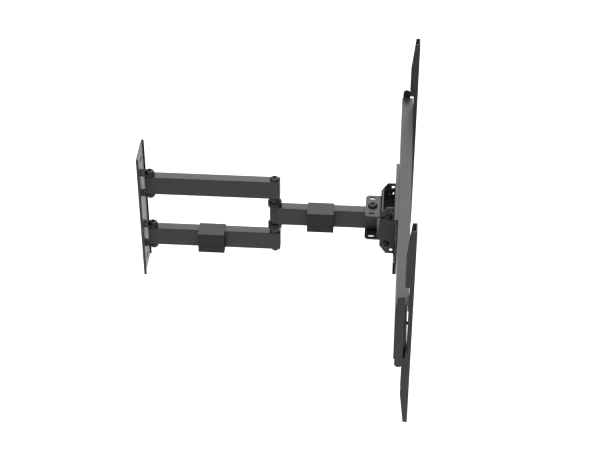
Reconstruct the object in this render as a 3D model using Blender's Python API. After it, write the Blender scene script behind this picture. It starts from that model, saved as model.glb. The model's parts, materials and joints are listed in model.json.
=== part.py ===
"""Full motion TV wall mount: wall plate, twin arms, forearm, swivel and tilt head, rail, two TV arms.

Frame: metres, +Z up, +X from the wall to the TV. The origin is the centre of the wall face.
"""
import math

import bmesh
import bpy
from mathutils import Vector
from mathutils.geometry import tessellate_polygon

MM = 0.001
GAP = 0.3 * MM              # kept between any two pieces that touch or are welded
ROUND = 16                  # sides of a round piece
CORNER_STEPS = 3            # segments in a rounded corner

# wall plate
PLATE_WIDTH = 68.6 * MM
PLATE_HEIGHT = 269 * MM
PLATE_SHEET = 2.5 * MM
PLATE_FLANGE = 5 * MM       # depth of the folded side edges
PLATE_SLOT = 8 * MM         # width of the slots for the wall screws
PLATE_SLOT_LENGTH = 22 * MM
PLATE_SLOT_Z = 112 * MM

# square tubes
TUBE_HEIGHT = 38.3 * MM
TUBE_WIDTH = 20.5 * MM
TUBE_WALL = 1.6 * MM
TUBE_CORNER = 1.8 * MM
ARM_Z = 59.4 * MM           # twin arms sit this far above and below the forearm
END_OVERHANG = 7.6 * MM     # tube past a pivot that turns close to a plate
ELBOW_OVERHANG = 8.8 * MM
CAP_FLANGE = 1.2 * MM
CAP_PLUG = 1.2 * MM

# pivots
WALL_PIVOT_X = 17.5 * MM
ARM_LENGTH = 234.5 * MM     # wall pivot to elbow
FOREARM_LENGTH = 184 * MM   # elbow to head swivel
PIN_RADIUS = 4.2 * MM
BUSH_WALL = 1.4 * MM
BUSH_FLANGE_RADIUS = 9.5 * MM
BUSH_FLANGE = 1.5 * MM
TAB_SHEET = 3 * MM
TAB_RADIUS = 10 * MM
CAP_HEAD_RADIUS = 8.8 * MM
CAP_HEAD_HEIGHT = 5.5 * MM
NUT_RADIUS = 8 * MM
NUT_HEIGHT = 5.5 * MM
THREAD_END = 2 * MM         # bolt left showing past its nut
SLEEVE_RADIUS = 10 * MM
COLLAR_WALL = 3 * MM
COLLAR_HEIGHT = 11 * MM
FOREARM_START = 3 * MM      # tube starts this far past the elbow axis, cut round the sleeve

# cable clips
CLIP_LENGTH = 50 * MM
CLIP_WALL = 1.7 * MM
CLIP_CHANNEL = 12.5 * MM    # room for cables beside the tube
ARM_CLIP_X = 114 * MM       # clip's middle from the wall pivot
FOREARM_CLIP_X = 87 * MM    # clip's middle from the elbow

# swivel yoke
YOKE_SHEET = 3 * MM
YOKE_OUTER_Z = 27.25 * MM
YOKE_HALF_WIDTH = 33 * MM
YOKE_BACK = 13.4 * MM       # flange behind the swivel axis
YOKE_FRONT = 17.2 * MM      # outer face of the web, ahead of the swivel axis
YOKE_CORNER = 5 * MM
YOKE_SLOT_Y = 24 * MM
YOKE_SLOT = 6 * MM
YOKE_SLOT_LENGTH = 12 * MM
YOKE_SLOT_X = -1 * MM      # middle of a slot, ahead of the swivel axis

# tilt joint
CHEEK_SHEET = 2.5 * MM
CHEEK_OUTER_Y = 36.5 * MM
CHEEK_HALF_HEIGHT = 42 * MM
CHEEK_DEPTH = 19 * MM
TILT_X = 27 * MM            # tilt axis ahead of the swivel axis
TILT_Z = -31 * MM
LOCK_X = 31 * MM
LOCK_Z = 31 * MM
TILT_UP = 5                 # degrees the TV may look up
TILT_DOWN = 10              # degrees the TV may look down
TILT_BOLT_RADIUS = 3 * MM
TILT_HEAD_RADIUS = 6.5 * MM
TILT_HEAD_HEIGHT = 4 * MM
TILT_NUT_RADIUS = 5.8 * MM
TILT_NUT_HEIGHT = 5 * MM
WING_SHEET = 2.5 * MM
WING_GAP = 0.6 * MM
WING_HALF_HEIGHT = 53 * MM
WING_BACK = 15 * MM         # wall-side edge of a wing, ahead of the swivel axis
WING_CHAMFER = 12 * MM       # corner cut, along the wing's depth
WING_CHAMFER_HEIGHT = 18 * MM
WING_HOLE = 3.2 * MM
WING_HOLE_INSET = 8 * MM

# centre plate and rail
CENTRE_WIDTH = 178 * MM
CENTRE_HEIGHT = 127 * MM
CENTRE_SHEET = 2.5 * MM
CENTRE_LIP = 6.6 * MM
RAIL_LENGTH = 650 * MM
RAIL_HEIGHT = 123.6 * MM
RAIL_DEPTH = 22.5 * MM
RAIL_SHEET = 2 * MM
RAIL_LIP = 14.5 * MM
RAIL_RIVET_Y = 68 * MM
RAIL_RIVET_Z = 44 * MM
RAIL_RIVET_RADIUS = 4 * MM
RIVET_HEAD_RADIUS = 8 * MM
RIVET_HEAD_HEIGHT = 3 * MM
END_PLATE_DEPTH = 14.5 * MM
END_PLATE_HEIGHT = 158 * MM
END_PLATE_SHEET = 2 * MM
END_PLATE_SETBACK = 2 * MM

# TV arms
TV_PLANE_X = 515 * MM       # face that the TV bears on
TV_ARM_LENGTH = 434 * MM
TV_ARM_MIDDLE_Z = -8.6 * MM
TV_ARM_WIDTH = 24.4 * MM
TV_ARM_SHEET = 2 * MM
TV_ARM_DEPTH = 15.6 * MM
TV_ARM_END_DEPTH = 8.3 * MM
TV_ARM_TAPER = 68 * MM
TV_ARM_NOTCH_DEPTH = 7.9 * MM   # flange left where the arm crosses the rail
TV_ARM_NOTCH_ABOVE = 27 * MM
TV_ARM_NOTCH_BELOW = 0.5 * MM
TV_ARM_Y = 300 * MM
VESA_SLOT = 6.6 * MM
VESA_SLOT_LENGTH = 22 * MM
VESA_ROWS = (-200 * MM, -150 * MM, -100 * MM, 100 * MM, 150 * MM, 200 * MM)
CLAMP_WIDTH = 20 * MM
CLAMP_SHEET = 2.5 * MM
CLAMP_BOLT_RADIUS = 3 * MM
CLAMP_NUT_RADIUS = 5.8 * MM
CLAMP_NUT_HEIGHT = 5 * MM

# places that follow from the sizes
ELBOW_X = WALL_PIVOT_X + ARM_LENGTH
SWIVEL_X = ELBOW_X + FOREARM_LENGTH
BUSH_RADIUS = PIN_RADIUS + GAP + BUSH_WALL
RAIL_BACK_X = TV_PLANE_X - TV_ARM_NOTCH_DEPTH - GAP
RAIL_FRONT_X = RAIL_BACK_X - RAIL_DEPTH
CENTRE_FRONT_X = RAIL_FRONT_X - GAP
CENTRE_BACK_X = CENTRE_FRONT_X - CENTRE_SHEET
ARM_TOP = TUBE_HEIGHT / 2
WASHER_TOP = ARM_TOP + GAP + BUSH_FLANGE


def circle(x, y, radius, sides=ROUND):
    """Points round a circle."""
    step = 2 * math.pi / sides
    return [(x + radius * math.cos(i * step), y + radius * math.sin(i * step)) for i in range(sides)]


def rounded(points, radius, steps=CORNER_STEPS):
    """The outline with an arc in place of each corner. radius is one value, or one per corner."""
    radii = radius if isinstance(radius, (list, tuple)) else [radius] * len(points)
    result = []
    for i, corner in enumerate(points):
        corner = Vector(corner)
        if radii[i] <= 0:
            result.append(tuple(corner))
            continue
        before = (Vector(points[i - 1]) - corner).normalized()
        after = (Vector(points[(i + 1) % len(points)]) - corner).normalized()
        half = before.angle(after) / 2
        reach = radii[i] / math.tan(half)
        centre = corner + (before + after).normalized() * (radii[i] / math.sin(half))
        start = corner + before * reach - centre
        end = corner + after * reach - centre
        sweep = math.atan2(start.x * end.y - start.y * end.x, start.dot(end))
        for k in range(steps + 1):
            angle = sweep * k / steps
            x = start.x * math.cos(angle) - start.y * math.sin(angle)
            y = start.x * math.sin(angle) + start.y * math.cos(angle)
            result.append((centre.x + x, centre.y + y))
    return result


def rectangle(low_a, high_a, low_b, high_b, radius=0.0, steps=CORNER_STEPS):
    """A rectangle with rounded corners."""
    corners = [(low_a, low_b), (high_a, low_b), (high_a, high_b), (low_a, high_b)]
    return rounded(corners, radius, steps)


def slot(a, b, width, length, along_b):
    """A round-ended slot, as an outline."""
    half_a = (width if along_b else length) / 2
    half_b = (length if along_b else width) / 2
    return rectangle(a - half_a, a + half_a, b - half_b, b + half_b, width / 2 * 0.999, 6)


def arc_slot(centre, radius, start, end, width, steps=8, end_steps=6):
    """A slot of the given width along an anticlockwise arc, as an outline."""
    def around(x, y, size, first, last, count):
        angles = [first + (last - first) * k / count for k in range(count + 1)]
        return [(x + size * math.cos(angle), y + size * math.sin(angle)) for angle in angles]

    half = width / 2
    outer = around(*centre, radius + half, start, end, steps)
    inner = around(*centre, radius - half, end, start, steps)
    far = (centre[0] + radius * math.cos(end), centre[1] + radius * math.sin(end))
    near = (centre[0] + radius * math.cos(start), centre[1] + radius * math.sin(start))
    far_end = around(*far, half, end, end + math.pi, end_steps)[1:-1]
    near_end = around(*near, half, start + math.pi, start + 2 * math.pi, end_steps)[1:-1]
    return outer + far_end + inner + near_end


def place(axis, a, b, t):
    """The point at (a, b) across an axis and t along it."""
    return {"x": (t, a, b), "y": (a, t, b), "z": (a, b, t)}[axis]


def loft(mesh, axis, rings):
    """Add a closed solid through rings of equal point count, each an outline and its place on the axis."""
    loops = [[mesh.verts.new(place(axis, a, b, t)) for a, b in outline] for outline, t in rings]
    for low, high in zip(loops, loops[1:]):
        count = len(low)
        for i in range(count):
            j = (i + 1) % count
            mesh.faces.new((low[i], low[j], high[j], high[i]))
    mesh.faces.new(loops[0])
    mesh.faces.new(loops[-1])


def prism(mesh, axis, low, high, outline, *holes):
    """Add an outline, with holes through it, extruded from low to high."""
    if not holes:
        loft(mesh, axis, [(outline, low), (outline, high)])
        return
    loops = [outline, *holes]
    flat = [[Vector((a, b, 0)) for a, b in loop] for loop in loops]
    ends = []
    for level in (low, high):
        ends.append([[mesh.verts.new(place(axis, a, b, level)) for a, b in loop] for loop in loops])
    for bottom, top in zip(*ends):
        for i in range(len(bottom)):
            j = (i + 1) % len(bottom)
            mesh.faces.new((bottom[i], bottom[j], top[j], top[i]))
    triangles = tessellate_polygon(flat)
    for end in ends:
        verts = [vert for loop in end for vert in loop]
        for triangle in triangles:
            mesh.faces.new([verts[i] for i in triangle])


def turned(mesh, axis, a, b, profile, sides=ROUND, ring=False):
    """Add a solid turned about an axis. profile is (radius, place) points, a closed loop for a ring."""
    loops = []
    for radius, t in profile:
        if radius == 0:
            loops.append([mesh.verts.new(place(axis, a, b, t))])
        else:
            loops.append([mesh.verts.new(place(axis, x, y, t)) for x, y in circle(a, b, radius, sides)])
    pairs = list(zip(loops, loops[1:]))
    if ring:
        pairs.append((loops[-1], loops[0]))
    for low, high in pairs:
        for i in range(sides):
            j = (i + 1) % sides
            corners = [low[i % len(low)], low[j % len(low)], high[j % len(high)], high[i % len(high)]]
            mesh.faces.new(list(dict.fromkeys(corners)))


def material(name, grey, roughness, metallic):
    """A plain Principled material, made once."""
    found = bpy.data.materials.get(name)
    if found:
        return found
    made = bpy.data.materials.new(name)
    made.use_nodes = True
    shader = made.node_tree.nodes["Principled BSDF"]
    shader.inputs["Base Color"].default_value = (grey, grey, grey, 1)
    shader.inputs["Roughness"].default_value = roughness
    shader.inputs["Metallic"].default_value = metallic
    return made


def powder_coat():
    return material("powder_coat", 0.03, 0.5, 0.0)


def black_plastic():
    return material("black_plastic", 0.012, 0.45, 0.0)


def black_steel():
    return material("black_steel", 0.008, 0.35, 0.8)


def make(name, build, finish, smooth=False):
    """A named object from a function that fills a bmesh."""
    mesh = bmesh.new()
    build(mesh)
    bmesh.ops.recalc_face_normals(mesh, faces=mesh.faces)
    data = bpy.data.meshes.new(name)
    mesh.to_mesh(data)
    mesh.free()
    data.materials.append(finish)
    if smooth:
        data.shade_smooth()
        data.set_sharp_from_angle(angle=math.radians(30))
    made = bpy.data.objects.new(name, data)
    bpy.context.scene.collection.objects.link(made)
    return made


def cut(target, build):
    """Subtract the solids that build adds to a bmesh."""
    cutter = make("cutter_" + target.name + str(len(target.modifiers)), build, powder_coat())
    cutter.hide_render = True
    cutter.display_type = "WIRE"
    boolean = target.modifiers.new("cut", "BOOLEAN")
    boolean.operation = "DIFFERENCE"
    boolean.object = cutter
    boolean.solver = "EXACT"


def domed_bolt(name, axis, a, b, seat, end, shank, head, height):
    """A bolt with a domed head seated at seat, its shank running to end."""
    out = 1 if seat > end else -1
    dome = [(head * math.cos(t), seat + out * (height * 0.3 + height * 0.7 * math.sin(t)))
            for t in (math.radians(angle) for angle in (0, 40, 68))]
    profile = [(0, end), (shank, end), (shank, seat), (head, seat)]
    profile += dome + [(0, seat + out * height)]
    return make(name, lambda mesh: turned(mesh, axis, a, b, profile), black_steel(), smooth=True)


def hex_nut(name, axis, a, b, low, high, radius, shank):
    """A hexagonal nut round a shank."""
    outline = circle(a, b, radius, 6)
    bore = circle(a, b, shank + GAP)
    return make(name, lambda mesh: prism(mesh, axis, low, high, outline, bore), black_steel())


def ring(name, axis, a, b, low, high, inner, outer, finish):
    """A plain washer, bush or collar."""
    profile = [(inner, low), (outer, low), (outer, high), (inner, high)]
    return make(name, lambda mesh: turned(mesh, axis, a, b, profile, ring=True), finish, smooth=True)


def wall_plate():
    """The plate on the wall, a shallow channel with folded side edges and screw slots."""
    half = PLATE_WIDTH / 2
    outline = [(0, -half), (PLATE_FLANGE, -half), (PLATE_FLANGE, PLATE_SHEET - half),
               (PLATE_SHEET, PLATE_SHEET - half), (PLATE_SHEET, half - PLATE_SHEET),
               (PLATE_FLANGE, half - PLATE_SHEET), (PLATE_FLANGE, half), (0, half)]

    def body(mesh):
        prism(mesh, "z", -PLATE_HEIGHT / 2, PLATE_HEIGHT / 2, outline)

    def slots(mesh):
        through = (-PLATE_SHEET, 2 * PLATE_SHEET)
        for side in (-1, 1):
            z = side * PLATE_SLOT_Z
            prism(mesh, "x", *through, slot(0, z, PLATE_SLOT, PLATE_SLOT_LENGTH, False))

    plate = make("wall_plate", body, powder_coat())
    cut(plate, slots)


def hinge_tab(name, low):
    """A tab that stands out from the wall plate and carries one end of a wall pivot."""
    start = PLATE_SHEET + GAP
    shank = circle(WALL_PIVOT_X, 0, PIN_RADIUS + GAP)
    half = TAB_RADIUS
    nose = [(WALL_PIVOT_X + half * math.sin(t), -half * math.cos(t))
            for t in (math.pi * k / 10 for k in range(11))]
    outline = [(start, -half)] + nose + [(start, half)]
    make(name, lambda mesh: prism(mesh, "z", low, low + TAB_SHEET, outline, shank), powder_coat())


def tube(name, start, end, z, bores):
    """A rectangular tube along X with upright bores for bushes at the given places."""
    half_w = TUBE_WIDTH / 2
    half_h = TUBE_HEIGHT / 2
    inner_w = half_w - TUBE_WALL
    inner_h = half_h - TUBE_WALL
    outer = rectangle(-half_w, half_w, z - half_h, z + half_h, TUBE_CORNER)
    inner = rectangle(-inner_w, inner_w, z - inner_h, z + inner_h, TUBE_CORNER / 2)
    made = make(name, lambda mesh: prism(mesh, "x", start, end, outer, inner), powder_coat())

    def holes(mesh):
        for x, radius in bores:
            prism(mesh, "z", z - TUBE_HEIGHT, z + TUBE_HEIGHT, circle(x, 0, radius))

    cut(made, holes)


def end_cap(name, end, out, z):
    """A plastic cap on a tube's end. out is +1 or -1 along X."""
    half_w = TUBE_WIDTH / 2
    half_h = TUBE_HEIGHT / 2
    inset = TUBE_WALL + GAP
    face = rectangle(-half_w, half_w, z - half_h, z + half_h, TUBE_CORNER)
    plug = rectangle(inset - half_w, half_w - inset, z - half_h + inset, z + half_h - inset, TUBE_CORNER / 2)
    seat = end + out * GAP
    rings = [(face, seat + out * CAP_FLANGE), (face, seat), (plug, seat), (plug, end - out * CAP_PLUG)]
    make(name, lambda mesh: loft(mesh, "x", rings), black_plastic())


def pivot_bush(name, x, z, side, flange):
    """A flanged plastic bush pressed into the top or bottom wall of a tube."""
    wall = z + side * ARM_TOP
    inner = PIN_RADIUS + GAP
    profile = [(inner, wall - side * 2.5 * TUBE_WALL), (BUSH_RADIUS, wall - side * 2.5 * TUBE_WALL),
               (BUSH_RADIUS, wall + side * GAP), (BUSH_FLANGE_RADIUS, wall + side * GAP),
               (BUSH_FLANGE_RADIUS, wall + side * (GAP + flange)), (inner, wall + side * (GAP + flange))]
    make(name, lambda mesh: turned(mesh, "z", x, 0, profile, ring=True), black_plastic(), smooth=True)


def wall_hinge(level, z):
    """Tabs, bushes, bolt and nut of one wall pivot."""
    tab = WASHER_TOP + GAP
    hinge_tab(level + "_hinge_tab_top", z + tab)
    hinge_tab(level + "_hinge_tab_bottom", z - tab - TAB_SHEET)
    pivot_bush(level + "_wall_bush_top", WALL_PIVOT_X, z, 1, BUSH_FLANGE)
    pivot_bush(level + "_wall_bush_bottom", WALL_PIVOT_X, z, -1, BUSH_FLANGE)
    seat = z + tab + TAB_SHEET + GAP
    nut_top = z - tab - TAB_SHEET - GAP
    end = nut_top - NUT_HEIGHT - THREAD_END
    domed_bolt(level + "_wall_pivot_bolt", "z", WALL_PIVOT_X, 0, seat, end,
               PIN_RADIUS, CAP_HEAD_RADIUS, CAP_HEAD_HEIGHT)
    hex_nut(level + "_wall_pivot_nut", "z", WALL_PIVOT_X, 0, nut_top - NUT_HEIGHT, nut_top,
            NUT_RADIUS, PIN_RADIUS)


def twin_arms():
    """The two arms that swing together on the wall plate."""
    bore = BUSH_RADIUS + GAP
    start = WALL_PIVOT_X - END_OVERHANG
    end = ELBOW_X + ELBOW_OVERHANG
    for level, z in (("upper", ARM_Z), ("lower", -ARM_Z)):
        tube(level + "_arm", start, end, z, ((WALL_PIVOT_X, bore), (ELBOW_X, bore)))
        end_cap(level + "_arm_cap_elbow", end, 1, z)
        wall_hinge(level, z)


def elbow():
    """Sleeve welded to the forearm, turning on one long bolt between the twin arms."""
    sleeve_half = ARM_Z - WASHER_TOP - GAP
    inner = PIN_RADIUS + GAP
    ring("elbow_sleeve", "z", ELBOW_X, 0, -sleeve_half, sleeve_half, inner, SLEEVE_RADIUS, powder_coat())
    for level, side in (("upper", 1), ("lower", -1)):
        near = side * (TUBE_HEIGHT / 2 + GAP)
        far = near + side * COLLAR_HEIGHT
        ring("elbow_collar_" + level, "z", ELBOW_X, 0, near, far, SLEEVE_RADIUS + GAP,
             SLEEVE_RADIUS + GAP + COLLAR_WALL, black_plastic())
        pivot_bush("elbow_bush_" + level, ELBOW_X, side * ARM_Z, -side, BUSH_FLANGE)
    seat = ARM_Z + ARM_TOP + GAP
    end = -seat - NUT_HEIGHT - THREAD_END
    domed_bolt("elbow_bolt", "z", ELBOW_X, 0, seat, end, PIN_RADIUS, CAP_HEAD_RADIUS, CAP_HEAD_HEIGHT)
    hex_nut("elbow_nut", "z", ELBOW_X, 0, -seat - NUT_HEIGHT, -seat, NUT_RADIUS, PIN_RADIUS)


def forearm():
    """The single tube from the elbow sleeve to the head swivel."""
    end = SWIVEL_X + END_OVERHANG
    bores = ((ELBOW_X, SLEEVE_RADIUS + GAP), (SWIVEL_X, BUSH_RADIUS + GAP))
    tube("forearm", ELBOW_X + FOREARM_START, end, 0, bores)
    end_cap("forearm_cap", end, 1, 0)
    flange = YOKE_OUTER_Z - YOKE_SHEET - ARM_TOP - 2 * GAP
    pivot_bush("swivel_bush_top", SWIVEL_X, 0, 1, flange)
    pivot_bush("swivel_bush_bottom", SWIVEL_X, 0, -1, flange)


def cable_clip(name, x, z):
    """A plastic clip round a tube, with a channel for cables on its near side."""
    half_w = TUBE_WIDTH / 2
    half_h = TUBE_HEIGHT / 2
    near = -half_w - GAP - 2 * CLIP_WALL - CLIP_CHANNEL
    far = half_w + GAP + CLIP_WALL
    tall = half_h + GAP + CLIP_WALL
    outer = rectangle(near, far, z - tall, z + tall, 1.5 * MM)
    grip = rectangle(-half_w - GAP, half_w + GAP, z - half_h - GAP, z + half_h + GAP, TUBE_CORNER)
    channel = rectangle(near + CLIP_WALL, near + CLIP_WALL + CLIP_CHANNEL,
                        z - half_h, z + half_h, TUBE_CORNER)
    low = x - CLIP_LENGTH / 2
    make(name, lambda mesh: prism(mesh, "x", low, low + CLIP_LENGTH, outer, grip, channel), black_plastic())


def yoke():
    """The C-shaped bracket that turns on the forearm's end."""
    back = SWIVEL_X - YOKE_BACK
    front = SWIVEL_X + YOKE_FRONT
    inner_z = YOKE_OUTER_Z - YOKE_SHEET
    web = front - YOKE_SHEET
    side = [(back, -YOKE_OUTER_Z), (front, -YOKE_OUTER_Z), (front, YOKE_OUTER_Z), (back, YOKE_OUTER_Z),
            (back, inner_z), (web, inner_z), (web, -inner_z), (back, -inner_z)]
    outline = rounded(side, [0, YOKE_SHEET, YOKE_SHEET, 0, 0, 0, 0, 0])
    made = make("swivel_yoke", lambda mesh: prism(mesh, "y", -YOKE_HALF_WIDTH, YOKE_HALF_WIDTH, outline),
                powder_coat())

    def holes(mesh):
        prism(mesh, "z", -2 * YOKE_OUTER_Z, 2 * YOKE_OUTER_Z, circle(SWIVEL_X, 0, PIN_RADIUS + GAP))
        for y in (-YOKE_SLOT_Y, YOKE_SLOT_Y):
            outline = slot(SWIVEL_X + YOKE_SLOT_X, y, YOKE_SLOT, YOKE_SLOT_LENGTH, False)
            prism(mesh, "z", -2 * YOKE_OUTER_Z, 2 * YOKE_OUTER_Z, outline)

    def corners(mesh):
        reach = YOKE_HALF_WIDTH + YOKE_CORNER
        for side_y in (-1, 1):
            wedge = [(back - YOKE_CORNER, side_y * reach), (back + YOKE_CORNER, side_y * reach),
                     (back + YOKE_CORNER, side_y * YOKE_HALF_WIDTH),
                     (back, side_y * (YOKE_HALF_WIDTH - YOKE_CORNER)),
                     (back - YOKE_CORNER, side_y * (YOKE_HALF_WIDTH - YOKE_CORNER))]
            prism(mesh, "z", -2 * YOKE_OUTER_Z, 2 * YOKE_OUTER_Z, wedge)

    cut(made, holes)
    cut(made, corners)
    seat = YOKE_OUTER_Z + GAP
    end = -seat - NUT_HEIGHT - THREAD_END
    domed_bolt("swivel_bolt", "z", SWIVEL_X, 0, seat, end, PIN_RADIUS, CAP_HEAD_RADIUS, CAP_HEAD_HEIGHT)
    hex_nut("swivel_nut", "z", SWIVEL_X, 0, -seat - NUT_HEIGHT, -seat, NUT_RADIUS, PIN_RADIUS)


def tilt_cheeks():
    """The channel welded ahead of the yoke, whose cheeks carry the tilt bolts."""
    back = SWIVEL_X + YOKE_FRONT + GAP
    front = back + CHEEK_DEPTH
    inner = CHEEK_OUTER_Y - CHEEK_SHEET
    outline = [(back, -CHEEK_OUTER_Y), (front, -CHEEK_OUTER_Y), (front, -inner), (back + CHEEK_SHEET, -inner),
               (back + CHEEK_SHEET, inner), (front, inner), (front, CHEEK_OUTER_Y), (back, CHEEK_OUTER_Y)]
    made = make("tilt_cheeks",
                lambda mesh: prism(mesh, "z", -CHEEK_HALF_HEIGHT, CHEEK_HALF_HEIGHT, outline), powder_coat())

    def holes(mesh):
        reach = 2 * CHEEK_OUTER_Y
        for x, z in ((TILT_X, TILT_Z), (LOCK_X, LOCK_Z)):
            prism(mesh, "y", -reach, reach, circle(SWIVEL_X + x, z, TILT_BOLT_RADIUS + GAP))

    cut(made, holes)


def wing(name, side):
    """A side plate of the tilting head, with an arc slot for the locking bolt."""
    back = SWIVEL_X + WING_BACK
    front = CENTRE_BACK_X - GAP
    corners = [(back + WING_CHAMFER, -WING_HALF_HEIGHT), (front, -WING_HALF_HEIGHT),
               (front, WING_HALF_HEIGHT), (back + WING_CHAMFER, WING_HALF_HEIGHT),
               (back, WING_HALF_HEIGHT - WING_CHAMFER_HEIGHT), (back, WING_CHAMFER_HEIGHT - WING_HALF_HEIGHT)]
    outline = rounded(corners, [2 * MM, 0, 0, 2 * MM, 2 * MM, 2 * MM])
    pivot = (SWIVEL_X + TILT_X, TILT_Z)
    reach = math.hypot(LOCK_X - TILT_X, LOCK_Z - TILT_Z)
    rest = math.atan2(LOCK_Z - TILT_Z, LOCK_X - TILT_X)
    lock = arc_slot(pivot, reach, rest - math.radians(TILT_UP), rest + math.radians(TILT_DOWN),
                    2 * (TILT_BOLT_RADIUS + GAP))
    holes = [lock, circle(*pivot, TILT_BOLT_RADIUS + GAP)]
    for end in (-1, 1):
        z = end * (WING_HALF_HEIGHT - WING_HOLE_INSET)
        holes.append(circle(front - WING_HOLE_INSET, z, WING_HOLE, 16))
    inner = CHEEK_OUTER_Y + WING_GAP
    low, high = sorted((side * inner, side * (inner + WING_SHEET)))
    make(name, lambda mesh: prism(mesh, "y", low, high, outline, *holes), powder_coat())


def tilt_bolts(label, side):
    """Pivot and locking bolts of one side, with their nuts inside the cheek."""
    seat = side * (CHEEK_OUTER_Y + WING_GAP + WING_SHEET + GAP)
    nut_face = side * (CHEEK_OUTER_Y - CHEEK_SHEET - GAP)
    nut_back = nut_face - side * TILT_NUT_HEIGHT
    end = nut_back - side * THREAD_END
    for use, x, z in (("pivot", TILT_X, TILT_Z), ("lock", LOCK_X, LOCK_Z)):
        domed_bolt(f"tilt_{use}_bolt_{label}", "y", SWIVEL_X + x, z, seat, end,
                   TILT_BOLT_RADIUS, TILT_HEAD_RADIUS, TILT_HEAD_HEIGHT)
        low, high = sorted((nut_face, nut_back))
        hex_nut(f"tilt_{use}_nut_{label}", "y", SWIVEL_X + x, z, low, high, TILT_NUT_RADIUS, TILT_BOLT_RADIUS)


def centre_plate():
    """The plate between the tilt wings and the rail, lipped towards the wall at top and bottom."""
    half = CENTRE_HEIGHT / 2
    lip = CENTRE_FRONT_X - CENTRE_LIP
    outline = [(lip, -half), (CENTRE_FRONT_X, -half), (CENTRE_FRONT_X, half), (lip, half),
               (lip, half - CENTRE_SHEET), (CENTRE_BACK_X, half - CENTRE_SHEET),
               (CENTRE_BACK_X, CENTRE_SHEET - half), (lip, CENTRE_SHEET - half)]
    made = make("centre_plate",
                lambda mesh: prism(mesh, "y", -CENTRE_WIDTH / 2, CENTRE_WIDTH / 2, outline), powder_coat())
    cut(made, lambda mesh: rail_rivet_holes(mesh))


def rail_rivet_holes(mesh):
    """Cylinders through the centre plate and the rail's web at the four rivets."""
    for y in (-RAIL_RIVET_Y, RAIL_RIVET_Y):
        for z in (-RAIL_RIVET_Z, RAIL_RIVET_Z):
            hole = circle(y, z, RAIL_RIVET_RADIUS + GAP)
            prism(mesh, "x", CENTRE_BACK_X - MM, RAIL_FRONT_X + RAIL_SHEET + MM, hole)


def rivet(name, y, z, low, high):
    """A rivet along X with a shallow domed head on each side."""
    rim = RIVET_HEAD_HEIGHT / 3
    profile = [(0, low - RIVET_HEAD_HEIGHT), (0.6 * RIVET_HEAD_RADIUS, low - 2.5 * rim),
               (RIVET_HEAD_RADIUS, low - rim), (RIVET_HEAD_RADIUS, low), (RAIL_RIVET_RADIUS, low),
               (RAIL_RIVET_RADIUS, high), (RIVET_HEAD_RADIUS, high), (RIVET_HEAD_RADIUS, high + rim),
               (0.6 * RIVET_HEAD_RADIUS, high + 2.5 * rim), (0, high + RIVET_HEAD_HEIGHT)]
    make(name, lambda mesh: turned(mesh, "x", y, z, profile), black_steel(), smooth=True)


def rail():
    """The horizontal lipped channel, open towards the TV, with its end plates and rivets."""
    half = RAIL_HEIGHT / 2
    inner = half - RAIL_SHEET
    lip = half - RAIL_LIP
    web = RAIL_FRONT_X + RAIL_SHEET
    mouth = RAIL_BACK_X - RAIL_SHEET
    outline = [(RAIL_FRONT_X, -half), (RAIL_BACK_X, -half), (RAIL_BACK_X, -lip), (mouth, -lip),
               (mouth, -inner), (web, -inner), (web, inner), (mouth, inner), (mouth, lip),
               (RAIL_BACK_X, lip), (RAIL_BACK_X, half), (RAIL_FRONT_X, half)]
    made = make("rail", lambda mesh: prism(mesh, "y", -RAIL_LENGTH / 2, RAIL_LENGTH / 2, outline), powder_coat())
    cut(made, lambda mesh: rail_rivet_holes(mesh))
    for label, side in (("left", 1), ("right", -1)):
        start = side * (RAIL_LENGTH / 2 + GAP)
        low, high = sorted((start, start + side * END_PLATE_SHEET))
        x = RAIL_FRONT_X + END_PLATE_SETBACK
        ear = rectangle(x, x + END_PLATE_DEPTH, -END_PLATE_HEIGHT / 2, END_PLATE_HEIGHT / 2,
                        END_PLATE_DEPTH / 2 * 0.98, 8)
        make("rail_end_plate_" + label, lambda mesh: prism(mesh, "y", low, high, ear), powder_coat())
    number = 0
    for y in (-RAIL_RIVET_Y, RAIL_RIVET_Y):
        for z in (-RAIL_RIVET_Z, RAIL_RIVET_Z):
            number += 1
            rivet(f"rail_rivet_{number}", y, z, CENTRE_BACK_X - GAP, web + GAP)


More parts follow.
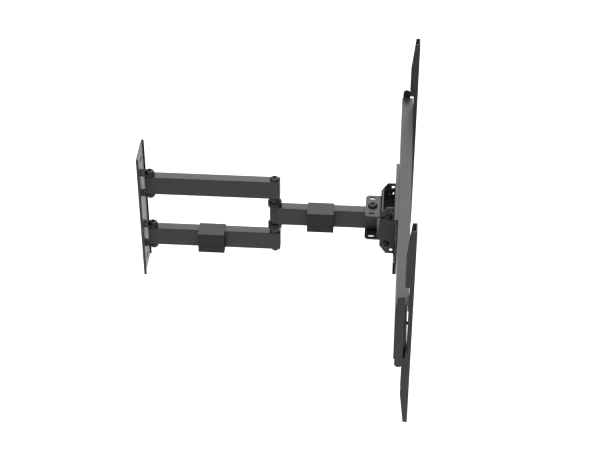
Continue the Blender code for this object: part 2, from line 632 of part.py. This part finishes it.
def tv_arm(label, side):
    """A vertical channel that bolts to the TV, crosses the rail and slides along it."""
    y = side * TV_ARM_Y
    low_z = TV_ARM_MIDDLE_Z - TV_ARM_LENGTH / 2
    high_z = TV_ARM_MIDDLE_Z + TV_ARM_LENGTH / 2
    deep = TV_PLANE_X - TV_ARM_DEPTH
    shallow = TV_PLANE_X - TV_ARM_END_DEPTH
    notch = TV_PLANE_X - TV_ARM_NOTCH_DEPTH
    notch_low = -RAIL_HEIGHT / 2 - TV_ARM_NOTCH_BELOW
    notch_high = RAIL_HEIGHT / 2 + TV_ARM_NOTCH_ABOVE
    side_view = [(TV_PLANE_X, low_z), (TV_PLANE_X, high_z), (shallow, high_z), (deep, high_z - TV_ARM_TAPER),
                 (deep, notch_high), (notch, notch_high), (notch, notch_low), (deep, notch_low),
                 (deep, low_z + TV_ARM_TAPER), (shallow, low_z)]
    radii = [0, 0, 2 * MM, 8 * MM, 2 * MM, 2 * MM, 0, 2 * MM, 8 * MM, 2 * MM]
    outline = rounded(side_view, radii)
    half = TV_ARM_WIDTH / 2
    name = "tv_arm_" + label
    made = make(name, lambda mesh: prism(mesh, "y", y - half, y + half, outline), powder_coat())
    web = TV_PLANE_X - TV_ARM_SHEET
    room = half - TV_ARM_SHEET
    inside = rectangle(y - room, y + room, low_z - TV_ARM_WIDTH, high_z + TV_ARM_WIDTH)
    cut(made, lambda mesh: prism(mesh, "x", deep - TV_ARM_SHEET, web, inside))

    def holes(mesh):
        for row in VESA_ROWS:
            outline = slot(y, TV_ARM_MIDDLE_Z + row, VESA_SLOT, VESA_SLOT_LENGTH, True)
            prism(mesh, "x", web - TV_ARM_SHEET, TV_PLANE_X + TV_ARM_SHEET, outline)
        hole = circle(y, 0, CLAMP_BOLT_RADIUS + GAP)
        prism(mesh, "x", web - TV_ARM_SHEET, TV_PLANE_X + TV_ARM_SHEET, hole)

    cut(made, holes)
    clamp(label, y, web)


def clamp(label, y, web):
    """The bar behind the rail's lips that holds a TV arm, with its bolt and nut."""
    high_x = RAIL_BACK_X - RAIL_SHEET - GAP
    low_x = high_x - CLAMP_SHEET
    half_z = RAIL_HEIGHT / 2 - RAIL_SHEET - 4 * GAP
    half_y = CLAMP_WIDTH / 2
    outline = rectangle(y - half_y, y + half_y, -half_z, half_z, 2 * MM)
    bore = circle(y, 0, CLAMP_BOLT_RADIUS + GAP)
    make("clamp_bar_" + label, lambda mesh: prism(mesh, "x", low_x, high_x, outline, bore), black_steel())
    nut_high = web - GAP
    domed_bolt("clamp_bolt_" + label, "x", y, 0, low_x - GAP, TV_PLANE_X - GAP,
               CLAMP_BOLT_RADIUS, 2 * CLAMP_BOLT_RADIUS, CLAMP_BOLT_RADIUS)
    hex_nut("clamp_nut_" + label, "x", y, 0, nut_high - CLAMP_NUT_HEIGHT, nut_high,
            CLAMP_NUT_RADIUS, CLAMP_BOLT_RADIUS)


def clear_scene():
    for old in list(bpy.data.objects):
        bpy.data.objects.remove(old, do_unlink=True)


def main():
    clear_scene()
    wall_plate()
    twin_arms()
    elbow()
    forearm()
    cable_clip("arm_cable_clip", WALL_PIVOT_X + ARM_CLIP_X, -ARM_Z)
    cable_clip("forearm_cable_clip", ELBOW_X + FOREARM_CLIP_X, 0)
    yoke()
    tilt_cheeks()
    for label, side in (("left", 1), ("right", -1)):
        wing("tilt_wing_" + label, side)
        tilt_bolts(label, side)
        tv_arm(label, side)
    centre_plate()
    rail()


main()
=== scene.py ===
"""The looks of the full motion TV wall mount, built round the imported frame."""
import json
import math

import bmesh
import bpy
from mathutils import Matrix, Vector


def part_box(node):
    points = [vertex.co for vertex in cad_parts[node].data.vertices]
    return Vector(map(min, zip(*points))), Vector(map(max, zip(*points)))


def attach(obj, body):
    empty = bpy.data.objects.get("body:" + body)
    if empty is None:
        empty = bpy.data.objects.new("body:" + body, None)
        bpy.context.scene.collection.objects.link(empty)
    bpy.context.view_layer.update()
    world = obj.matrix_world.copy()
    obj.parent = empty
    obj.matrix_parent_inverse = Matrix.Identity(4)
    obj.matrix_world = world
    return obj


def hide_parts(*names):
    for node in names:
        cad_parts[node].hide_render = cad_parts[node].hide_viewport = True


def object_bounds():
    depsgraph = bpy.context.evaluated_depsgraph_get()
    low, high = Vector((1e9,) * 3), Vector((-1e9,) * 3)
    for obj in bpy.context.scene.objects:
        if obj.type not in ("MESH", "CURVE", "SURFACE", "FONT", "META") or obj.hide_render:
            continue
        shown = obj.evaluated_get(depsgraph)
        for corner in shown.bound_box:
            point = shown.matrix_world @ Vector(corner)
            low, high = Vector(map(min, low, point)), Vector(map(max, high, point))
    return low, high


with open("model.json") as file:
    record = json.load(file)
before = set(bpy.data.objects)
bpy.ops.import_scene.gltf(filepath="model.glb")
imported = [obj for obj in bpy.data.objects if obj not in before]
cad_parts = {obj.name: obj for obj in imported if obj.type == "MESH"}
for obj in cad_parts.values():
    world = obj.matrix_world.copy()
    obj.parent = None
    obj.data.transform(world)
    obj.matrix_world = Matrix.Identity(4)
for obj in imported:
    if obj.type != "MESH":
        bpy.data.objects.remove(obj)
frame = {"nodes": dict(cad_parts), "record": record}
CAD_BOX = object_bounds()
NODES = frame["nodes"]
MM = 0.001

# camera: from the side and above
CAMERA_TARGET = Vector((0.2995, 0.0, -0.025))
CAMERA_PITCH = math.radians(37.24)
CAMERA_YAW = math.radians(-3.94)
CAMERA_DISTANCE = 2.9895
CAMERA_LENS = 94.45
CAMERA_SENSOR = 36.0
FLOOR_DROP = 0.55

# round pieces
SIDES = 48
PIN_RADIUS = 4.2 * MM
SMALL_PIN_RADIUS = 3.0 * MM
SLEEVE_RADIUS = 10.0 * MM
RUNNING_GAP = 0.3 * MM
THREAD_PITCH = 1.25 * MM
THREAD_ROOT = 0.86          # of the shank's radius
THREAD_LEAD_IN = 0.78       # of the shank's radius, at the bolt's tip
PIVOT_HEAD_HEIGHT = 5.5 * MM
PIVOT_THREAD = 8 * MM
TILT_HEAD_HEIGHT = 4 * MM
TILT_THREAD = 5 * MM
CLAMP_HEAD_HEIGHT = 3 * MM
CLAMP_THREAD = 8 * MM
DOME_RIM = 0.3              # of a head's height, straight before its dome begins
DOME_RISE = 0.7             # of a head's height, taken up by its dome
DOME_DEGREES = (0, 14, 28, 42, 56, 68)
SOCKET = 0.42               # of a head's radius, to the socket's corners
SOCKET_MOUTH = 1.12         # of the socket's radius
SOCKET_DEPTH = 0.55         # of a head's height
HEXAGON_EASE = 0.985        # of a corner's radius, where a hexagon's corners are eased
NUT_CHAMFER = 0.14          # of a nut's height
NUT_FACE = 0.98             # of a nut's inscribed circle, where its chamfer begins
NUT_COUNTERSINK = 0.4 * MM
SLEEVE_EASE = 0.6 * MM
COLLAR_EASE = 1.0 * MM

# cable clips
RIB_PROUD = 0.45 * MM
RIB_SUNK = 0.3 * MM
RIB_EASE = 0.2 * MM
RIB_Z = 13.5 * MM           # snap rib above the clip's foot
RIB_HEIGHT = 0.9 * MM
RIB_END_GAP = 1.5 * MM
LATCH_HALF_LENGTH = 6 * MM
LATCH_LOW = 1.2 * MM
LATCH_HIGH = 3.4 * MM

# weld beads
WELD_RIPPLE = 1.3 * MM
WELD_SIDES = 8
WELD_SWELL = 0.18           # of the bead's radius
WELD_END = 0.3              # of the bead's radius, at its two ends

# stage
EDGE_HIGHLIGHT_SHARE = 0.35           # most of the painted highlight colour on a sharp edge
FLOOR_HALF_SIZE = 30.0
WORLD_STRENGTH = 0.75
LIGHT_SIZE = 4.0
OVERHEAD_PLACE = (0.3, 0.4, 3.2)
OVERHEAD_ENERGY = 110.0
BACK_TOP_PLACE = (0.4, 3.4, 2.6)
BACK_TOP_ENERGY = 130.0


# ---- materials ----

def new_material(name, roughness, metallic=0.0, specular=0.5):
    """A Principled material. Returns it with its node tree, shader and object coordinates."""
    made = bpy.data.materials.new(name)
    made.use_nodes = True
    tree = made.node_tree
    shader = tree.nodes["Principled BSDF"]
    shader.inputs["Roughness"].default_value = roughness
    shader.inputs["Metallic"].default_value = metallic
    shader.inputs["Specular IOR Level"].default_value = specular
    coords = tree.nodes.new("ShaderNodeTexCoord").outputs["Object"]
    return made, tree, shader, coords


def noise(tree, coords, scale, detail=3.0):
    """Noise at a scale in cycles per metre."""
    made = tree.nodes.new("ShaderNodeTexNoise")
    made.inputs["Scale"].default_value = scale
    made.inputs["Detail"].default_value = detail
    tree.links.new(coords, made.inputs["Vector"])
    return made.outputs["Fac"]


def ramp(tree, fac, low, high, start=0.3, stop=0.7):
    """Map a value to a colour between two greys."""
    made = tree.nodes.new("ShaderNodeValToRGB")
    made.color_ramp.elements[0].position = start
    made.color_ramp.elements[1].position = stop
    made.color_ramp.elements[0].color = (*low, 1)
    made.color_ramp.elements[1].color = (*high, 1)
    tree.links.new(fac, made.inputs["Fac"])
    return made.outputs["Color"]


def bump(tree, shader, heights, strength, distance):
    """Bump from one or more heights, coarse first."""
    normal = None
    for height in heights:
        made = tree.nodes.new("ShaderNodeBump")
        made.inputs["Strength"].default_value = strength
        made.inputs["Distance"].default_value = distance
        tree.links.new(height, made.inputs["Height"])
        if normal:
            tree.links.new(normal, made.inputs["Normal"])
        normal = made.outputs["Normal"]
    tree.links.new(normal, shader.inputs["Normal"])


def paint_edge_highlight(tree, colour, highlight_colour, start, stop):
    """Painted highlight: lighten a colour where the surface is sharply convex."""
    geometry = tree.nodes.new("ShaderNodeNewGeometry")
    # mask of sharp convex edges that take the painted highlight
    edge_highlight_mask = tree.nodes.new("ShaderNodeMapRange")
    edge_highlight_mask.inputs["From Min"].default_value = start
    edge_highlight_mask.inputs["From Max"].default_value = stop
    edge_highlight_mask.inputs["To Max"].default_value = EDGE_HIGHLIGHT_SHARE
    tree.links.new(geometry.outputs["Pointiness"], edge_highlight_mask.inputs["Value"])
    mix = tree.nodes.new("ShaderNodeMix")
    mix.data_type = "RGBA"
    tree.links.new(edge_highlight_mask.outputs["Result"], mix.inputs["Factor"])
    tree.links.new(colour, mix.inputs[6])
    mix.inputs[7].default_value = (*highlight_colour, 1)
    return mix.outputs[2]


def powder_coat():
    """Black powder coat: fine orange peel, faint mottling and a painted highlight along sharp edges."""
    made, tree, shader, coords = new_material("powder_coat_black", 0.38, specular=0.3)
    colour = ramp(tree, noise(tree, coords, 60.0), (0.0112, 0.0113, 0.0116), (0.0148, 0.0149, 0.0152))
    # sharp convex edges lightened: a painted highlight
    tree.links.new(paint_edge_highlight(tree, colour, (0.04, 0.04, 0.041), 0.53, 0.6), shader.inputs["Base Color"])
    rough = ramp(tree, noise(tree, coords, 220.0), (0.33, 0.33, 0.33), (0.43, 0.43, 0.43))
    tree.links.new(rough, shader.inputs["Roughness"])
    bump(tree, shader, [noise(tree, coords, 900.0, 2.0), noise(tree, coords, 2600.0, 1.0)], 0.12, 0.0003)
    return made


def moulded_plastic():
    """Black moulded plastic with a fine spark-eroded grain."""
    made, tree, shader, coords = new_material("moulded_plastic_black", 0.42, specular=0.25)
    colour = ramp(tree, noise(tree, coords, 90.0), (0.0052, 0.0052, 0.0054), (0.0075, 0.0075, 0.0077))
    tree.links.new(colour, shader.inputs["Base Color"])
    rough = ramp(tree, noise(tree, coords, 500.0), (0.36, 0.36, 0.36), (0.46, 0.46, 0.46))
    tree.links.new(rough, shader.inputs["Roughness"])
    bump(tree, shader, [noise(tree, coords, 3200.0, 2.0)], 0.2, 0.0002)
    return made


def black_oxide():
    """Black oxide steel for bolts and nuts, with faint turning marks and a painted highlight along sharp edges."""
    made, tree, shader, coords = new_material("black_oxide_steel", 0.34, metallic=0.55)
    colour = ramp(tree, noise(tree, coords, 140.0), (0.010, 0.010, 0.0105), (0.022, 0.022, 0.023))
    # sharp convex edges lightened: a painted highlight
    tree.links.new(paint_edge_highlight(tree, colour, (0.09, 0.09, 0.092), 0.54, 0.64), shader.inputs["Base Color"])
    rough = ramp(tree, noise(tree, coords, 700.0), (0.26, 0.26, 0.26), (0.42, 0.42, 0.42))
    tree.links.new(rough, shader.inputs["Roughness"])
    bump(tree, shader, [noise(tree, coords, 1800.0, 2.0)], 0.12, 0.0002)
    return made


def pale_floor():
    """Plain pale studio floor."""
    made, tree, shader, coords = new_material("studio_floor", 0.9, specular=0.1)
    colour = ramp(tree, noise(tree, coords, 0.7), (0.93, 0.93, 0.93), (0.95, 0.95, 0.95))
    tree.links.new(colour, shader.inputs["Base Color"])
    return made


COAT = powder_coat()
PLASTIC = moulded_plastic()
STEEL = black_oxide()
FINISHES = {"powder_coat": COAT, "black_plastic": PLASTIC, "black_steel": STEEL}


# ---- mesh helpers ----

def point(axis, a, b, t):
    """The point at (a, b) across an axis and t along it."""
    return {"x": (t, a, b), "y": (a, t, b), "z": (a, b, t)}[axis]


def finish_mesh(name, mesh, body, slot, angle=35.0):
    """Turn a bmesh into a piece that rides on a body."""
    bmesh.ops.remove_doubles(mesh, verts=mesh.verts, dist=1e-7)
    bmesh.ops.recalc_face_normals(mesh, faces=mesh.faces)
    data = bpy.data.meshes.new(name)
    mesh.to_mesh(data)
    mesh.free()
    data.shade_smooth()
    data.set_sharp_from_angle(angle=math.radians(angle))
    data.materials.append(FINISHES[slot])
    made = bpy.data.objects.new(name, data)
    bpy.context.scene.collection.objects.link(made)
    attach(made, body)
    return made


def add_turned(mesh, axis, a, b, profile, closed=False):
    """Add a turned surface. profile is a list of (radius, place)."""
    loops = []
    for radius, t in profile:
        if radius == 0:
            loops.append([mesh.verts.new(point(axis, a, b, t))])
            continue
        loop = []
        for i in range(SIDES):
            angle = 2 * math.pi * i / SIDES
            x = a + radius * math.cos(angle)
            y = b + radius * math.sin(angle)
            loop.append(mesh.verts.new(point(axis, x, y, t)))
        loops.append(loop)
    pairs = list(zip(loops, loops[1:]))
    if closed:
        pairs.append((loops[-1], loops[0]))
    for low, high in pairs:
        for i in range(SIDES):
            j = (i + 1) % SIDES
            corners = [low[i % len(low)], low[j % len(low)], high[j % len(high)], high[i % len(high)]]
            mesh.faces.new(list(dict.fromkeys(corners)))


def body_of_node(node):
    """The body that a CAD node belongs to."""
    for body, members in frame["record"]["behaviour"]["bodies"].items():
        if node in members:
            return body
    raise ValueError(node)


def slot_of_node(node):
    """The material slot of a CAD node."""
    for entry in frame["record"]["subparts"]:
        if entry["node"] == node:
            return entry["material_slot"]
    raise ValueError(node)


def across(node, axis):
    """Centre across the axis, low and high along it, and half the size across it."""
    low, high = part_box(node)
    index = "xyz".index(axis)
    others = [i for i in range(3) if i != index]
    centre = [(low[i] + high[i]) / 2 for i in others]
    half = (high[others[0]] - low[others[0]]) / 2
    return centre[0], centre[1], low[index], high[index], half


def hexagon(angle):
    """Radius of a unit hexagon, measured to its corners, with its corners just eased."""
    sector = math.pi / 3
    local = (angle % sector) - sector / 2
    return min(math.cos(sector / 2) / math.cos(local), HEXAGON_EASE)


# ---- fasteners ----

def fine_bolt(node, axis, shank, head_up, head_height, thread_length):
    """A domed bolt with a hexagonal socket and a threaded end, in place of a CAD bolt."""
    a, b, low, high, head = across(node, axis)
    top, end, out = (high, low, 1) if head_up else (low, high, -1)
    seat = top - out * head_height
    socket = head * SOCKET
    depth = head_height * SOCKET_DEPTH
    mesh = bmesh.new()
    profile = [(0, end), (shank * THREAD_LEAD_IN, end), (shank, end + out * THREAD_PITCH)]
    turns = int(thread_length / THREAD_PITCH)
    for i in range(turns):
        base = end + out * THREAD_PITCH * (1 + i)
        profile += [(shank * THREAD_ROOT, base + out * THREAD_PITCH * 0.5), (shank, base + out * THREAD_PITCH)]
    profile += [(shank, seat), (head * 0.97, seat), (head, seat + out * head_height * 0.06)]
    for degrees in DOME_DEGREES:
        angle = math.radians(degrees)
        rise = head_height * (DOME_RIM + DOME_RISE * math.sin(angle))
        profile.append((head * math.cos(angle), seat + out * rise))
    rim = seat + out * head_height * 0.995
    profile.append((socket * SOCKET_MOUTH, rim))
    add_turned(mesh, axis, a, b, profile)
    last = list(mesh.verts)[-SIDES:]
    inner = []
    floor_ring = []
    for i in range(SIDES):
        angle = 2 * math.pi * i / SIDES
        size = socket * hexagon(angle)
        x = a + size * math.cos(angle)
        y = b + size * math.sin(angle)
        inner.append(mesh.verts.new(point(axis, x, y, rim - out * head_height * 0.04)))
        floor_ring.append(mesh.verts.new(point(axis, x, y, rim - out * depth)))
    centre = mesh.verts.new(point(axis, a, b, rim - out * (depth + head_height * 0.06)))
    for i in range(SIDES):
        j = (i + 1) % SIDES
        mesh.faces.new((last[i], last[j], inner[j], inner[i]))
        mesh.faces.new((inner[i], inner[j], floor_ring[j], floor_ring[i]))
        mesh.faces.new((floor_ring[i], floor_ring[j], centre))
    made = finish_mesh("fine_" + node, mesh, body_of_node(node), "black_steel")
    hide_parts(node)


def fine_nut(node, axis, shank):
    """A hexagonal nut with chamfered corners, in place of a CAD nut."""
    a, b, low, high, _ = across(node, axis)
    radius = max(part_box(node)[1][i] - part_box(node)[0][i] for i in range(3) if i != "xyz".index(axis)) / 2
    bore = shank + RUNNING_GAP
    chamfer = (high - low) * NUT_CHAMFER
    inscribed = radius * math.cos(math.pi / 6) * NUT_FACE
    mesh = bmesh.new()
    rings = []

    def ring(t, size, six_sided):
        loop = []
        for i in range(SIDES):
            angle = 2 * math.pi * i / SIDES
            r = min(size, radius * hexagon(angle)) if six_sided else size
            loop.append(mesh.verts.new(point(axis, a + r * math.cos(angle), b + r * math.sin(angle), t)))
        rings.append(loop)

    ring(low, bore + NUT_COUNTERSINK, False)
    ring(low, inscribed, True)
    ring(low + chamfer, radius, True)
    ring(high - chamfer, radius, True)
    ring(high, inscribed, True)
    ring(high, bore + NUT_COUNTERSINK, False)
    ring(high - chamfer, bore, False)
    ring(low + chamfer, bore, False)
    for one, two in zip(rings, rings[1:] + rings[:1]):
        for i in range(SIDES):
            j = (i + 1) % SIDES
            mesh.faces.new((one[i], one[j], two[j], two[i]))
    made = finish_mesh("fine_" + node, mesh, body_of_node(node), "black_steel", 25.0)
    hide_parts(node)


def fine_ring(node, inner, ease):
    """A smooth upright ring with eased rims, in place of a CAD ring."""
    a, b, low, high, outer = across(node, "z")
    profile = [(inner, low + ease), (inner + ease, low), (outer - ease, low), (outer - 0.3 * ease, low + 0.3 * ease),
               (outer, low + ease), (outer, high - ease), (outer - 0.3 * ease, high - 0.3 * ease),
               (outer - ease, high), (inner + ease, high), (inner, high - ease)]
    mesh = bmesh.new()
    add_turned(mesh, "z", a, b, profile, closed=True)
    made = finish_mesh("fine_" + node, mesh, body_of_node(node), slot_of_node(node))
    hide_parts(node)


# ---- added detail ----

def weld(name, body, points, radius):
    """A rippled weld bead along a path of points."""
    mesh = bmesh.new()
    path = [Vector(p) for p in points]
    lengths = [0.0]
    for one, two in zip(path, path[1:]):
        lengths.append(lengths[-1] + (two - one).length)
    steps = max(6, int(lengths[-1] / (WELD_RIPPLE / 3)))
    loops = []
    for k in range(steps + 1):
        along = lengths[-1] * k / steps
        i = max(j for j in range(len(path) - 1) if lengths[j] <= along + 1e-9)
        step = path[i + 1] - path[i]
        spot = path[i] + step * ((along - lengths[i]) / step.length)
        tangent = step.normalized()
        side = tangent.cross(Vector((0.31, 0.22, 0.92))).normalized()
        up = tangent.cross(side)
        swell = 0.82 + WELD_SWELL * abs(math.sin(math.pi * along / WELD_RIPPLE))
        if k in (0, steps):
            swell *= WELD_END
        loop = []
        for m in range(WELD_SIDES):
            angle = 2 * math.pi * m / WELD_SIDES
            offset = (side * math.cos(angle) + up * math.sin(angle)) * radius * swell
            loop.append(mesh.verts.new(spot + offset))
        loops.append(loop)
    for one, two in zip(loops, loops[1:]):
        for m in range(WELD_SIDES):
            n = (m + 1) % WELD_SIDES
            mesh.faces.new((one[m], one[n], two[n], two[m]))
    mesh.faces.new(loops[0])
    mesh.faces.new(loops[-1])
    finish_mesh(name, mesh, body, "powder_coat", 60.0)


def strip(name, body, slot, low, high, ease):
    """A long eased rib between two corners."""
    mesh = bmesh.new()
    bmesh.ops.create_cube(mesh, size=1.0)
    size = Vector(high) - Vector(low)
    middle = (Vector(high) + Vector(low)) / 2
    bmesh.ops.transform(mesh, matrix=Matrix.Translation(middle) @ Matrix.Diagonal((*size, 1)), verts=mesh.verts)
    bmesh.ops.bevel(mesh, geom=mesh.edges[:], offset=ease, segments=2, affect="EDGES", profile=0.5)
    finish_mesh(name, mesh, body, slot)


def clip_details(node):
    """The snap rib and latch on a cable clip's near face."""
    low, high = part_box(node)
    body = body_of_node(node)
    near = low[1]
    z = low[2] + RIB_Z
    strip(node + "_snap_rib", body, "black_plastic", (low[0] + RIB_END_GAP, near - RIB_PROUD, z),
          (high[0] - RIB_END_GAP, near + RIB_SUNK, z + RIB_HEIGHT), RIB_EASE)
    middle = (low[0] + high[0]) / 2
    strip(node + "_latch", body, "black_plastic", (middle - LATCH_HALF_LENGTH, near - RIB_PROUD, low[2] + LATCH_LOW),
          (middle + LATCH_HALF_LENGTH, near + RIB_SUNK, low[2] + LATCH_HIGH), RIB_EASE)


def add_welds():
    """Beads where tabs, sleeve, cheeks and wings are welded on."""
    for level in ("upper", "lower"):
        for end in ("top", "bottom"):
            low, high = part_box(f"{level}_hinge_tab_{end}")
            x = low[0] + 0.2 * MM
            z = high[2] if end == "top" else low[2]
            weld(f"weld_{level}_{end}", "wall", [(x, low[1] + MM, z), (x, high[1] - MM, z)], 1.1 * MM)
    low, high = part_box("forearm")
    sleeve_low, sleeve_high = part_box("elbow_sleeve")
    x = (sleeve_low[0] + sleeve_high[0]) / 2
    for label, y in (("near", low[1]), ("far", high[1])):
        start = (x + 3 * MM, y * 0.985, low[2] + 2 * MM)
        end = (x + 3 * MM, y * 0.985, high[2] - 2 * MM)
        weld("weld_sleeve_" + label, "forearm", [start, end], 0.9 * MM)
    low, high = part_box("tilt_cheeks")
    yoke_low, yoke_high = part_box("swivel_yoke")
    for label, y in (("near", yoke_low[1]), ("far", yoke_high[1])):
        weld("weld_yoke_" + label, "head", [(low[0], y, yoke_low[2] + 4 * MM), (low[0], y, yoke_high[2] - 4 * MM)],
             1.1 * MM)
    for label in ("left", "right"):
        low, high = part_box("tilt_wing_" + label)
        y = high[1] if label == "left" else low[1]
        for part, z in (("top", high[2] - 22 * MM), ("bottom", low[2] + 4 * MM)):
            weld(f"weld_wing_{label}_{part}", "tv_frame", [(high[0], y, z), (high[0], y, z + 18 * MM)], 1.2 * MM)
        low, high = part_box("rail_end_plate_" + label)
        rail_low, rail_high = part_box("rail")
        y = rail_high[1] if label == "left" else rail_low[1]
        for part, z in (("top", rail_high[2]), ("bottom", rail_low[2])):
            weld(f"weld_rail_{label}_{part}", "tv_frame", [(low[0] + MM, y, z), (high[0] - MM, y, z)], 0.9 * MM)


def ease_edges():
    """Ease the folded and cut edges of the CAD sheet and tube pieces."""
    widths = {"rail": 0.5, "centre_plate": 0.4, "wall_plate": 0.4, "swivel_yoke": 0.5, "tilt_cheeks": 0.4,
              "tv_arm_left": 0.35, "tv_arm_right": 0.35, "arm_cable_clip": 0.35, "forearm_cable_clip": 0.35,
              "tilt_wing_left": 0.35, "tilt_wing_right": 0.35,
              "rail_end_plate_left": 0.35, "rail_end_plate_right": 0.35}
    for node, width in widths.items():
        bevel = NODES[node].modifiers.new("eased_edges", "BEVEL")
        bevel.width = width * MM
        bevel.segments = 2
        bevel.limit_method = "ANGLE"
        bevel.angle_limit = math.radians(40)
        bevel.harden_normals = True


def finish_cad_nodes():
    """Give every CAD node its procedural finish."""
    for node, piece in NODES.items():
        finish = FINISHES[slot_of_node(node)]
        piece.data.materials.clear()
        piece.data.materials.append(finish)


def replace_round_pieces():
    """Fine bolts, nuts and rings in place of the faceted ones."""
    for node in ("upper_wall_pivot_bolt", "lower_wall_pivot_bolt", "elbow_bolt", "swivel_bolt"):
        fine_bolt(node, "z", PIN_RADIUS, True, PIVOT_HEAD_HEIGHT, PIVOT_THREAD)
    for node in ("upper_wall_pivot_nut", "lower_wall_pivot_nut", "elbow_nut", "swivel_nut"):
        fine_nut(node, "z", PIN_RADIUS)
    for use in ("pivot", "lock"):
        for label in ("left", "right"):
            fine_bolt(f"tilt_{use}_bolt_{label}", "y", SMALL_PIN_RADIUS, label == "left",
                      TILT_HEAD_HEIGHT, TILT_THREAD)
            fine_nut(f"tilt_{use}_nut_{label}", "y", SMALL_PIN_RADIUS)
    for label in ("left", "right"):
        fine_bolt("clamp_bolt_" + label, "x", SMALL_PIN_RADIUS, False, CLAMP_HEAD_HEIGHT, CLAMP_THREAD)
        fine_nut("clamp_nut_" + label, "x", SMALL_PIN_RADIUS)
    fine_ring("elbow_sleeve", PIN_RADIUS + RUNNING_GAP, SLEEVE_EASE)
    for level in ("upper", "lower"):
        fine_ring("elbow_collar_" + level, SLEEVE_RADIUS + RUNNING_GAP, COLLAR_EASE)


# ---- stage ----

def make_camera():
    """The camera, at its place, aim and lens."""
    level = math.cos(CAMERA_PITCH)
    forward = Vector((math.sin(CAMERA_YAW) * level, math.cos(CAMERA_YAW) * level, -math.sin(CAMERA_PITCH)))
    data = bpy.data.cameras.new("camera")
    data.lens = CAMERA_LENS
    data.sensor_width = CAMERA_SENSOR
    camera = bpy.data.objects.new("camera", data)
    camera.location = CAMERA_TARGET - forward * CAMERA_DISTANCE
    camera.rotation_euler = forward.to_track_quat("-Z", "Y").to_euler()
    bpy.context.scene.collection.objects.link(camera)
    bpy.context.scene.camera = camera


def area_light(name, place, energy):
    """A square soft light aimed at the mount."""
    data = bpy.data.lights.new(name, "AREA")
    data.size = LIGHT_SIZE
    data.energy = energy
    light = bpy.data.objects.new(name, data)
    light.location = place
    aim = CAMERA_TARGET - Vector(place)
    light.rotation_euler = aim.to_track_quat("-Z", "Y").to_euler()
    bpy.context.scene.collection.objects.link(light)


def make_stage():
    """Pale floor, white surroundings and soft lights."""
    mesh = bmesh.new()
    bmesh.ops.create_grid(mesh, x_segments=8, y_segments=8, size=FLOOR_HALF_SIZE)
    data = bpy.data.meshes.new("studio_floor")
    mesh.to_mesh(data)
    mesh.free()
    data.materials.append(pale_floor())
    floor = bpy.data.objects.new("studio_floor", data)
    floor.location = (0, 0, CAD_BOX[0][2] - FLOOR_DROP)
    bpy.context.scene.collection.objects.link(floor)
    world = bpy.data.worlds.new("studio")
    world.use_nodes = True
    world.node_tree.nodes["Background"].inputs["Color"].default_value = (1, 1, 1, 1)
    world.node_tree.nodes["Background"].inputs["Strength"].default_value = WORLD_STRENGTH
    bpy.context.scene.world = world
    bpy.context.scene.view_settings.view_transform = "Standard"
    area_light("overhead", OVERHEAD_PLACE, OVERHEAD_ENERGY)
    area_light("back_top", BACK_TOP_PLACE, BACK_TOP_ENERGY)


finish_cad_nodes()
ease_edges()
replace_round_pieces()
clip_details("arm_cable_clip")
clip_details("forearm_cable_clip")
add_welds()
make_stage()
make_camera()
bpy.context.view_layer.update()
